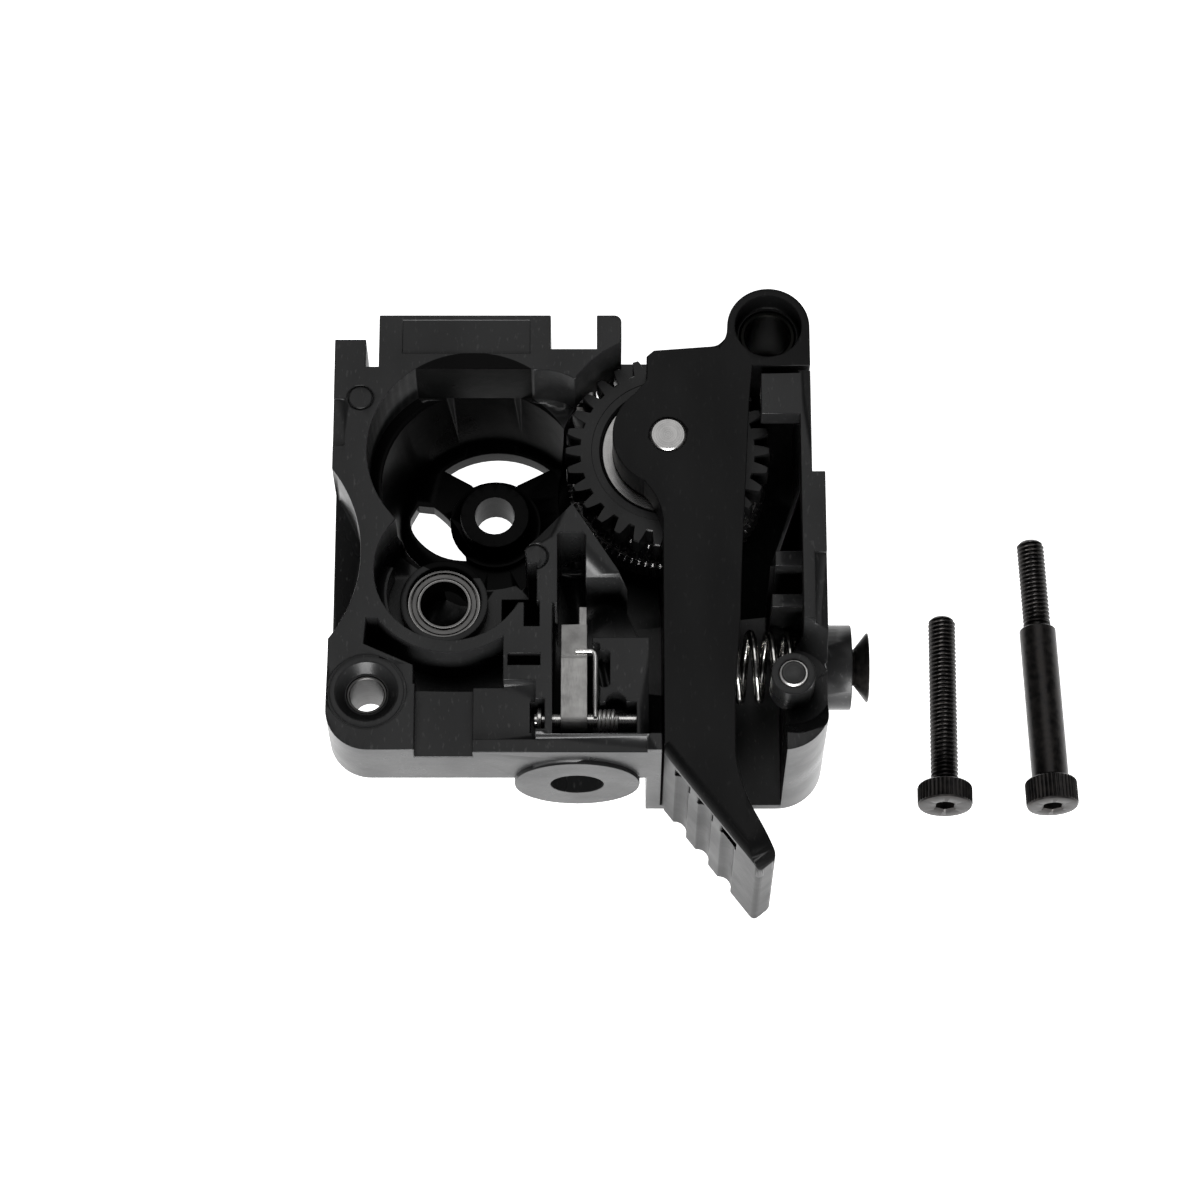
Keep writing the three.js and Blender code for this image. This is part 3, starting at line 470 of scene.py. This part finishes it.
def rounded_copy(name, node, radius):
    """The shape of a CAD node with its flat faces made whole and its outer edges rounded, where there
    is room. A point that the rounding threw further than its radius goes back to the CAD surface."""
    shape = bmesh.new()
    shape.from_mesh(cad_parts[node].data)
    bmesh.ops.remove_doubles(shape, verts=shape.verts, dist=WELD)
    outside = BVHTree.FromBMesh(shape)
    bmesh.ops.dissolve_limit(shape, angle_limit=FLAT_ANGLE, verts=shape.verts, edges=shape.edges)
    narrow = set()
    for face in shape.faces:
        narrow |= narrow_edges(face, ROOM_TO_ROUND * radius * MM)
    edges = [
        edge for edge in shape.edges
        if edge.is_convex and edge.calc_face_angle() > EDGE_ANGLE and edge not in narrow
    ]
    bmesh.ops.bevel(shape, geom=edges, offset=radius * MM, segments=2, profile=0.6, affect="EDGES")
    for vertex in shape.verts:
        nearest, _, _, distance = outside.find_nearest(vertex.co)
        if distance > radius * MM:
            vertex.co = nearest
    many_sided = [face for face in shape.faces if len(face.verts) > 4]
    bmesh.ops.triangulate(shape, faces=many_sided, ngon_method="BEAUTY")
    mesh = bpy.data.meshes.new(name)
    shape.to_mesh(mesh)
    shape.free()
    piece = bpy.data.objects.new(name, mesh)
    bpy.context.scene.collection.objects.link(piece)
    mesh.shade_smooth()
    mesh.set_sharp_from_angle(angle=SMOOTH_ANGLE)
    weighted = piece.modifiers.new("weighted_normals", "WEIGHTED_NORMAL")
    weighted.keep_sharp = True
    return piece


def moulded_parts():
    housing = rounded_copy("housing_moulding", "housing", 0.12)
    place_piece(housing, "housing", "housing", housing_plastic)
    arm = rounded_copy("arm_moulding", "arm", 0.14)
    place_piece(arm, "arm", "arm", arm_plastic)


# ---------------------------------------------------------------- idler

GEAR_TEETH = 30
GEAR_MODULE = 0.7
TOOTH_HEIGHT = 2.25 * GEAR_MODULE
GEAR_BORE = 7.2
GEAR_EDGE = 0.14
FACE_GROOVE = 0.08             # shallow ring groove in the gear's front face
WHEEL_BORE = 3.55
WHEEL_EDGE = 0.15
RIM_RIDGES = 90
RIDGE_DEPTH = 0.3
RIM_END = 7.9
GRIP_START = 8
GRIP_TEETH = 60
GRIP_RADIUS = 10.2
GRIP_DEPTH = 0.42
GRIP_EDGE = 0.3
HOLLOW = 0.35                  # depth of the hollow that guides the filament
HOLLOW_RINGS = 9
HUB_RADIUS = 7.15
HUB_WALL = 1.25
HUB_EDGE = 0.12
AXLE_CHAMFER = 0.28


def idler_gear():
    """Spur gear with a bore for the wheel's hub, and a ring groove in its front face."""
    z0, z1, centre, tip = span("idler_gear", "Z")
    edge = GEAR_EDGE
    outline = {"count": GEAR_TEETH, "root": tip - TOOTH_HEIGHT, "tip": tip,
               "root_share": 0.66, "tip_share": 0.26}
    rings = [
        (z0, GEAR_BORE + edge), (z0, teeth(**outline, inset=edge)), (z0 + edge, teeth(**outline)),
        (z1 - edge, teeth(**outline)), (z1, teeth(**outline, inset=edge)), (z1, GEAR_BORE + 1.1),
        (z1 - FACE_GROOVE, GEAR_BORE + 1.05), (z1 - FACE_GROOVE, GEAR_BORE + 0.25), (z1 - 0.25, GEAR_BORE),
        (z0 + edge, GEAR_BORE),
    ]
    gear = turned("idler_gear_ring", rings, "Z", centre, steps=GEAR_TEETH * 24, closed=True)
    place_piece(gear, "idler_gear", "idler", gear_plastic)


def hob_wheel():
    """Steel wheel: a knurled rim behind, the hollow-cut teeth that grip the filament, and the hub."""
    z0, top, centre, tip = span("hob_wheel", "Z")
    z1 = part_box("needle_bearing_front")[1].z / MM
    edge = GRIP_EDGE
    hub_bore = HUB_RADIUS - HUB_WALL
    outline = {"count": GRIP_TEETH, "root": GRIP_RADIUS - GRIP_DEPTH, "tip": GRIP_RADIUS,
               "root_share": 0.9, "tip_share": 0.12}
    rings = [
        (z0, WHEEL_BORE + WHEEL_EDGE), (z0, tip - 2 * edge), (z0 + edge, knurl(tip, RIM_RIDGES, RIDGE_DEPTH)),
        (RIM_END - edge, knurl(tip, RIM_RIDGES, RIDGE_DEPTH)), (RIM_END, tip - 2 * edge),
        (RIM_END, GRIP_RADIUS - 2 * edge), (GRIP_START, GRIP_RADIUS - 2 * edge),
        (GRIP_START, teeth(**outline, inset=edge)),
    ]
    for share in np.linspace(0, 1, HOLLOW_RINGS):
        hollow = HOLLOW * max(0, 1 - (2 * share - 1) ** 2 * 1.6)
        place = GRIP_START + edge + share * (z1 - GRIP_START - 2 * edge)
        rings.append((place, teeth(**outline, inset=hollow)))
    rings += [
        (z1, teeth(**outline, inset=edge)), (z1, HUB_RADIUS), (top - HUB_EDGE, HUB_RADIUS),
        (top, HUB_RADIUS - HUB_EDGE), (top, hub_bore + HUB_EDGE), (top - HUB_EDGE, hub_bore),
        (z1, hub_bore), (z1, WHEEL_BORE + WHEEL_EDGE), (z1 - WHEEL_EDGE, WHEEL_BORE),
        (z0 + WHEEL_EDGE, WHEEL_BORE),
    ]
    wheel = turned("hob_wheel_toothed", rings, "Z", centre, steps=GRIP_TEETH * 12, closed=True)
    steel = turned_metal("hob_steel", "Z", centre, WHEEL_STEEL, 0.26)
    place_piece(wheel, "hob_wheel", "idler", steel)


def idler_axle():
    """Pin with a chamfer round its end, which carries a painted highlight."""
    z0, z1, centre, radius = span("idler_axle", "Z")
    axle = turned("idler_axle_pin", rod_rings(z0, z1, radius, AXLE_CHAMFER), "Z", centre)
    # painted highlight on the end chamfer
    steel = turned_metal("axle_steel", "Z", centre, SATIN, 0.3, rim=radius - AXLE_CHAMFER)
    place_piece(axle, "idler_axle", "arm", steel)


AXLE_BORE = 2.05
PIVOT_BORE = 2.45
SLEEVE_BORE = 1.8
NUT_BORE = 2.05
CLIP_BORE = 0.8
FILAMENT_BORE = 1.15
SHIELD_BORE = 3.0


def plain_rings():
    """Washers, bushes and bearing shells: tubes with chamfered edges. Each row is node, body, slot,
    axis, bore, chamfer, colour and roughness."""
    # rows in the darkened steel colour carry painted shade
    listed = [
        ("needle_bearing_front", "idler", "steel", "Z", AXLE_BORE, 0.2, GREY, 0.3),
        ("needle_bearing_rear", "idler", "steel", "Z", AXLE_BORE, 0.2, GREY, 0.3),
        ("thrust_washer_front", "arm", "steel", "Z", AXLE_BORE, 0.12, GREY, 0.3),
        ("thrust_washer_rear", "arm", "steel", "Z", AXLE_BORE, 0.1, GREY, 0.3),
        ("pivot_bushing", "arm", "black_steel", "Z", PIVOT_BORE, 0.15, BUSH_BLACK, 0.5),
        ("mount_sleeve", "housing", "steel", "Z", SLEEVE_BORE, 0.1, PAINTED_SHADE_STEEL, 0.5),
        ("tension_nut", "housing", "black_steel", "X", NUT_BORE, 0.25, NUT_STEEL, 0.35),
        ("pin_clip", "housing", "sheet_steel", "X", CLIP_BORE, 0.1, BRIGHT, 0.28),
        ("outlet_insert", "housing", "steel", "Y", FILAMENT_BORE, 0.3, PAINTED_SHADE_STEEL, 0.3),
        ("inlet_insert", "housing", "steel", "Y", FILAMENT_BORE, 0.3, GREY, 0.3),
        ("bearing_shield", "housing", "steel", "Z", SHIELD_BORE, 0.04, PAINTED_SHADE_STEEL, 0.3),
    ]
    for node, body, slot, axis, bore, chamfer, colour, roughness in listed:
        start, end, centre, outer = span(node, axis)
        ring = turned(node + "_ring", tube_rings(start, end, outer, bore, chamfer), axis, centre, closed=True)
        metal = turned_metal(node + "_metal", axis, centre, colour, roughness)
        place_piece(ring, node, body, metal)


# ---------------------------------------------------------------- ball bearing

BEARING_WALL = 0.45
BEARING_EDGE = 0.12
BALLS = 8
BALL_SIDES = 20
BALL_RINGS = 11
POLE_HOLE = 0.12               # angle from a ball's pole to its first ring, closed by a small flat
CAGE_STEPS = 64
CAGE_HALF = 0.2                # half height of the cage's strip
CAGE_WALL = 0.1                # half thickness of the strip


def bearing_rings():
    """Outer and inner ring with round corners."""
    for node, body in (("bearing_outer_ring", "housing"), ("bearing_inner_ring", "bearing_inner")):
        z0, z1, centre, outer = span(node, "Z")
        rings = tube_rings(z0, z1, outer, outer - BEARING_WALL, BEARING_EDGE)
        ring = turned(node + "_turned", rings, "Z", centre, steps=128, closed=True)
        # painted shade darkens the ring faces, and a painted highlight lies on the outer chamfer
        steel = turned_metal(node + "_steel", "Z", centre, PAINTED_SHADE_STEEL, 0.16, rim=outer - BEARING_EDGE)
        place_piece(ring, node, body, steel)


def bearing_balls():
    """Balls held apart by a thin strip, behind the shield."""
    z0, z1, centre, outer = span("bearing_cage", "Z")
    middle, ball = (z0 + z1) / 2, (z1 - z0) / 2
    pitch = outer - ball
    vertices, faces = [], []
    parts = [cage_mesh(pitch, middle, centre)]
    parts += [ball_mesh(pitch, ball, middle, centre, i * TAU / BALLS) for i in range(BALLS)]
    for points, quads in parts:
        offset = sum(len(block) for block in vertices)
        vertices.append(points)
        faces += [tuple(offset + i for i in quad) for quad in quads]
    cage = make_piece("bearing_ball_set", np.concatenate(vertices), faces)
    steel = turned_metal("ball_steel", "Z", centre, BRIGHT, 0.15)
    place_piece(cage, "bearing_cage", "housing", steel)


def cage_mesh(pitch, middle, centre):
    """Points and faces of the strip between the balls."""
    rings = tube_rings(middle - CAGE_HALF, middle + CAGE_HALF, pitch + CAGE_WALL, pitch - CAGE_WALL, 0.03)
    return ring_points(rings, CAGE_STEPS, "Z", centre), grid_faces(len(rings), CAGE_STEPS, True)


def ball_mesh(pitch, radius, middle, centre, angle):
    """Points and faces of one ball."""
    at = np.array(centre) + pitch * np.array([math.cos(angle), math.sin(angle), 0])
    polar = np.linspace(POLE_HOLE, math.pi - POLE_HOLE, BALL_RINGS)
    rings = [(middle - radius * math.cos(p), radius * math.sin(p)) for p in polar]
    return ring_points(rings, BALL_SIDES, "Z", at), grid_faces(len(rings), BALL_SIDES, False)


# ---------------------------------------------------------------- springs

SPRING_TURNS = 3.83
SPRING_WIRE = 0.9
CLOSED_PITCH = 1.1
POINTS_PER_TURN = 48


def tension_spring():
    """Compression spring with ends flattened by grinding and its last turn closed up. It rides with
    the arm."""
    x0, x1, _, outer = span("tension_spring", "X")
    middle = span("spring_cup", "X")[2]
    mean, half = outer - SPRING_WIRE / 2, SPRING_WIRE / 2
    turns = np.linspace(0, SPRING_TURNS, round(SPRING_TURNS * POINTS_PER_TURN))
    angles = (turns - SPRING_TURNS) * TAU
    stops = (x0 + half, x1 - half - CLOSED_PITCH, x1 - half)
    path = np.stack([
        np.interp(turns, (0, SPRING_TURNS - 1, SPRING_TURNS), stops),
        middle[1] + mean * np.cos(angles),
        middle[2] + mean * np.sin(angles),
    ], axis=1)
    spring = swept_wire("tension_spring_coil", path, SPRING_WIRE, sides=16, x_limits=(x0, x1))
    place_piece(spring, "tension_spring", "arm", spring_steel)
    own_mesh(spring)


TORSION_TURNS = 5
TORSION_WIRE = 0.4
TORSION_MEAN = 1.05
COIL_END = 4.25
LEG_X = 1.95                   # place of the straight leg, beside the lever
LEG_FRONT = 19.55              # height of the leg's hook, in front of the lever
HOOK_END = -0.1
HOOK_Y = -5.6


def torsion_spring():
    """Coil round the lever's pin. Its leg runs up beside the lever and hooks over its front."""
    pin = span("lever_pin", "X")[2]
    turns = np.linspace(0, TORSION_TURNS, TORSION_TURNS * POINTS_PER_TURN)
    angles = math.pi / 2 + turns * TAU
    coil = np.stack([
        COIL_END + turns / TORSION_TURNS * (LEG_X - COIL_END),
        pin[1] + TORSION_MEAN * np.cos(angles),
        pin[2] + TORSION_MEAN * np.sin(angles),
    ], axis=1)
    leg = smooth_path([
        coil[-1], (LEG_X, pin[1] + 1.2, pin[2] + TORSION_MEAN + 0.1), (LEG_X, -9, LEG_FRONT - 0.2),
        (LEG_X, HOOK_Y - 0.7, LEG_FRONT), (LEG_X - 0.25, HOOK_Y - 0.1, LEG_FRONT),
        (LEG_X - 0.8, HOOK_Y, LEG_FRONT), (HOOK_END, HOOK_Y, LEG_FRONT),
    ])
    spring = swept_wire("torsion_spring_coil", np.concatenate([coil[:-1], leg]), TORSION_WIRE)
    place_piece(spring, "torsion_spring", "lever", bright_wire)


def smooth_path(points, steps=10):
    """A Catmull-Rom curve through the points."""
    p = np.array([points[0], *points, points[-1]], float)
    path = []
    for i in range(1, len(p) - 2):
        for t in np.arange(steps) / steps:
            path.append(0.5 * (
                2 * p[i] + (p[i + 1] - p[i - 1]) * t
                + (2 * p[i - 1] - 5 * p[i] + 4 * p[i + 1] - p[i + 2]) * t ** 2
                + (3 * p[i] - p[i - 1] - 3 * p[i + 1] + p[i + 2]) * t ** 3
            ))
    path.append(p[-1])
    return np.array(path)


# ---------------------------------------------------------------- lever

LEVER_PIN_CHAMFER = 0.15


def filament_lever():
    """The sheet-steel lever and the pin that it turns on."""
    lever = rounded_copy("filament_lever_sheet", "filament_lever", 0.08)
    place_piece(lever, "filament_lever", "lever", sheet_steel)
    start, end, centre, radius = span("lever_pin", "X")
    pin = turned("lever_pin_turned", rod_rings(start, end, radius, LEVER_PIN_CHAMFER), "X", centre)
    place_piece(pin, "lever_pin", "housing", turned_metal("pin_steel", "X", centre, BRIGHT, 0.24))


# ---------------------------------------------------------------- pins, cup and screws

PIN_ROUND = 0.35               # radius of the guide pin's round end


def guide_pin():
    """Dark pin with a rounded edge at its end, which carries a painted highlight."""
    z0, z1, centre, radius = span("guide_pin", "Z")
    rings = [(z0, radius), (z1 - PIN_ROUND, radius)]
    for angle in (0.5, 1.0, math.pi / 2):
        height = z1 - PIN_ROUND * (1 - math.sin(angle))
        rings.append((height, radius - PIN_ROUND * (1 - math.cos(angle))))
    pin = turned("guide_pin_turned", rings, "Z", centre)
    # painted highlight round the rounded end
    steel = turned_metal("guide_pin_steel", "Z", centre, DARK, 0.35, rim=radius - 0.2)
    place_piece(pin, "guide_pin", "housing", steel)


def spring_cup():
    """Cup with a nose inside the spring and a flange behind it."""
    x0, x1, centre, radius = span("spring_cup", "X")
    rings = [
        (x0, 1.9), (x0 + 0.4, 2.3), (x0 + 1.35, 2.4), (x0 + 1.5, 2.6), (x0 + 1.5, radius - 0.2),
        (x0 + 1.7, radius), (x1 - 0.2, radius), (x1, radius - 0.2),
    ]
    cup = turned("spring_cup_turned", rings, "X", centre)
    place_piece(cup, "spring_cup", "housing", oxide)


SHANK = 2.0
SHANK_PITCH = 0.7
SHANK_CHAMFER = 0.4
COUNTERSINK = 1.55             # length of the countersunk head
HEAD_SOCKET = 1.35


def tension_screw():
    """Countersunk screw with a hexagon socket, its threaded end towards the spring."""
    x0, x1, centre, head = span("tension_screw", "X")
    under, socket = x1 - COUNTERSINK, HEAD_SOCKET
    thread = thread_rings(-under, -x0, SHANK, SHANK_PITCH, SHANK_CHAMFER)
    rings = [(-x, mirrored(radius)) for x, radius in reversed(thread)]
    rings += [
        (under, SHANK), (x1 - 0.25, head - 0.05), (x1 - 0.12, head), (x1 - 0.03, head - 0.04),
        (x1, head - 0.15), (x1, socket + 0.25), (x1 - 0.15, hexagon(socket)),
        (x1 - 0.7, hexagon(socket)), (x1 - 0.95, 0.15),
    ]
    screw = turned("tension_screw_threaded", rings, "X", centre)
    place_piece(screw, "tension_screw", "tension_screw", oxide)


def mirrored(radius):
    """A thread's radius function for a screw that points the other way, with the same hand."""
    return lambda angles, place: radius(-angles, -place)


CAP_SOCKET = 1.15
CAP_RIDGES = 44
CAP_RIDGE_DEPTH = 0.14
CAP_THREAD = 1.5
CAP_PITCH = 0.5
UNDERCUT = 0.6                 # length of the neck between the shoulder and the thread
FILLET = 0.12
CAP_STEPS = 132


def cap_screw(node, head, head_length, shoulder, shoulder_length, thread_length, lean):
    """A socket cap screw lying on its head and the end of its thread, in the place of a CAD node."""
    depth, socket, thread = 0.55 * head_length, CAP_SOCKET, CAP_THREAD
    side = knurl(head, CAP_RIDGES, CAP_RIDGE_DEPTH)
    rings = [
        (depth + 0.5, 0.12), (depth, hexagon(socket)), (0.18, hexagon(socket)), (0, socket + 0.22),
        (0, head - 0.34), (0.06, head - 0.16), (0.22, head - 0.06), (0.4, side),
        (head_length - 0.3, side), (head_length - 0.12, head - 0.08), (head_length, head - 0.2),
    ]
    y = head_length
    if shoulder_length:
        rings += [(y, shoulder - FILLET), (y + 0.3, shoulder - FILLET), (y + 0.35, shoulder)]
        y += shoulder_length
        neck = thread - 0.28
        rings += [(y - 0.15, shoulder), (y, shoulder - 0.15), (y, neck), (y + UNDERCUT, neck)]
        start = y + UNDERCUT
    else:
        rings += [(y, thread + FILLET), (y + FILLET, thread)]
        start = y + FILLET
    end = y + thread_length
    rings += thread_rings(start, end, thread, CAP_PITCH, 0.35)
    points = ring_points(rings, CAP_STEPS, "Y", (0, 0, 0))
    dip = Matrix.Rotation(-math.atan2(head - thread + 0.35, end), 3, "X")
    turn = Matrix.Rotation(math.radians(lean), 3, "Z")
    points = points @ np.array(turn @ dip).T
    low, high = (np.array(corner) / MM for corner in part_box(node))
    points += (low + high - points.min(axis=0) - points.max(axis=0)) / 2
    points[:, 2] += low[2] - points[:, 2].min()
    screw = make_piece(node + "_threaded", points, grid_faces(len(rings), CAP_STEPS, False))
    place_piece(screw, node, node, oxide)


def loose_screws():
    cap_screw("mount_screw", head=3.0, head_length=2.4, shoulder=0, shoulder_length=0,
              thread_length=20, lean=-1.0)
    cap_screw("shoulder_screw", head=2.85, head_length=3.0, shoulder=2.0, shoulder_length=18,
              thread_length=10.5, lean=2.2)


# ---------------------------------------------------------------- studio

CAMERA_DISTANCE = 450
CAMERA_ELEVATION = math.radians(69)
CAMERA_LENS = 127
AIM = (2.45, 0, 20)
SENSOR_WIDTH = 36
FLOOR_SIZE = 4.0
FLOOR_GAP = 0.00005
FLOOR_GLOW = 1.2
HORIZON = (0.9, 0.9, 0.9, 1)
OVERHEAD = (0.05, 0.05, 0.052, 1)


def camera():
    """A long lens that looks down at the open front and leans towards the lower edge."""
    data = bpy.data.cameras.new("camera")
    data.lens = CAMERA_LENS
    data.sensor_width = SENSOR_WIDTH
    made = bpy.data.objects.new("camera", data)
    back = Vector((0, -math.cos(CAMERA_ELEVATION), math.sin(CAMERA_ELEVATION)))
    made.location = (Vector(AIM) + back * CAMERA_DISTANCE) * MM
    made.rotation_euler = (math.pi / 2 - CAMERA_ELEVATION, 0, 0)
    bpy.context.scene.collection.objects.link(made)
    bpy.context.scene.camera = made


def light_table():
    """A pale floor that is lit from within, as a product table is."""
    half = FLOOR_SIZE / 2
    mesh = bpy.data.meshes.new("floor")
    corners = [(-half, -half, 0), (half, -half, 0), (half, half, 0), (-half, half, 0)]
    mesh.from_pydata(corners, [], [(0, 1, 2, 3)])
    floor = bpy.data.objects.new("floor", mesh)
    floor.location.z = cad_box[0].z - FLOOR_GAP
    bpy.context.scene.collection.objects.link(floor)
    surface = Surface("pale_floor", Roughness=0.6)
    surface.shader.inputs["Emission Color"].default_value = (1, 1, 1, 1)
    surface.shader.inputs["Emission Strength"].default_value = FLOOR_GLOW
    surface.colour(surface.blend_colour(surface.noise(300), (0.78, 0.78, 0.78), (0.82, 0.82, 0.82)))
    mesh.materials.append(surface.material)


def soft_light(name, location, size, power):
    """A square soft box that faces the object."""
    data = bpy.data.lights.new(name, "AREA")
    data.size = size
    data.energy = power
    light = bpy.data.objects.new(name, data)
    light.location = location
    light.rotation_euler = (-Vector(location)).to_track_quat("-Z", "Y").to_euler()
    bpy.context.scene.collection.objects.link(light)


def studio_sky():
    """A white room that darkens overhead, so that faces turned up stay dark."""
    world = bpy.data.worlds.new("studio")
    world.use_nodes = True
    tree = world.node_tree
    place = tree.nodes.new("ShaderNodeTexCoord")
    split = tree.nodes.new("ShaderNodeSeparateXYZ")
    ramp = tree.nodes.new("ShaderNodeValToRGB")
    low, high = ramp.color_ramp.elements
    low.position, low.color = 0.02, HORIZON
    high.position, high.color = 0.3, OVERHEAD
    tree.links.new(place.outputs["Generated"], split.inputs["Vector"])
    tree.links.new(split.outputs["Z"], ramp.inputs["Fac"])
    tree.links.new(ramp.outputs["Color"], tree.nodes["Background"].inputs["Color"])
    bpy.context.scene.world = world


def studio():
    light_table()
    studio_sky()
    soft_light("front_box", (0.0, -0.7, 0.22), 0.44, 12)
    soft_light("top_box", (0.0, 0.32, 0.8), 0.6, 1.5)
    bpy.context.scene.view_settings.view_transform = "Standard"


camera()
moulded_parts()
idler_gear()
hob_wheel()
idler_axle()
plain_rings()
bearing_rings()
bearing_balls()
tension_spring()
torsion_spring()
filament_lever()
guide_pin()
spring_cup()
tension_screw()
loose_screws()
studio()
